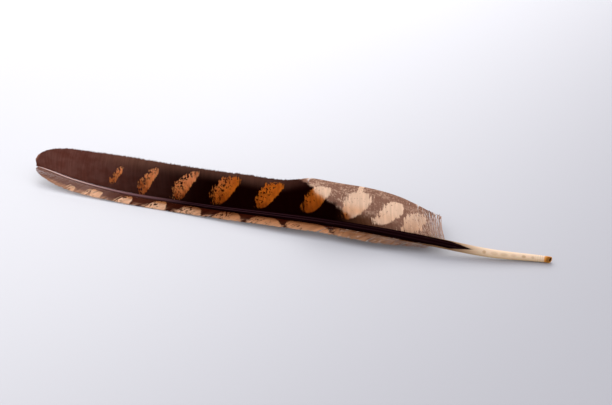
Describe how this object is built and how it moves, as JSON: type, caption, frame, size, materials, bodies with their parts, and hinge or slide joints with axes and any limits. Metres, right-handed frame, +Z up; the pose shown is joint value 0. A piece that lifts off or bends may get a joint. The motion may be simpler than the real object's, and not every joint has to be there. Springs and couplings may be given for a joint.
{
  "type": "turkey wing feather",
  "caption": "Loose wing feather with a barred wide vane, a narrow vane and a bare quill, lying with its upper side showing.",
  "frame": {"origin": "on the surface the feather lies on, under the middle of its box", "axes": "+X along the feather from the tip to the quill, +Y towards the wide vane, +Z up"},
  "size_m": [0.3198, 0.047, 0.0229],
  "materials": {
    "shaft": "smooth horn with a soft gloss: ivory and slightly see-through at the quill, blackish brown under the vanes, pinkish tan at the tip",
    "wide_vane": "matte web of fine barbs with a faint silky sheen, dark brown with slanting orange-buff bars, greyer and flecked towards the base",
    "narrow_vane": "matte web of fine barbs, grey-brown with buff patches at the edge"
  },
  "bodies": {
    "root": {"shaft": "shaft", "wide_vane": "wide_vane", "narrow_vane": "narrow_vane"}
  },
  "joints": []
}
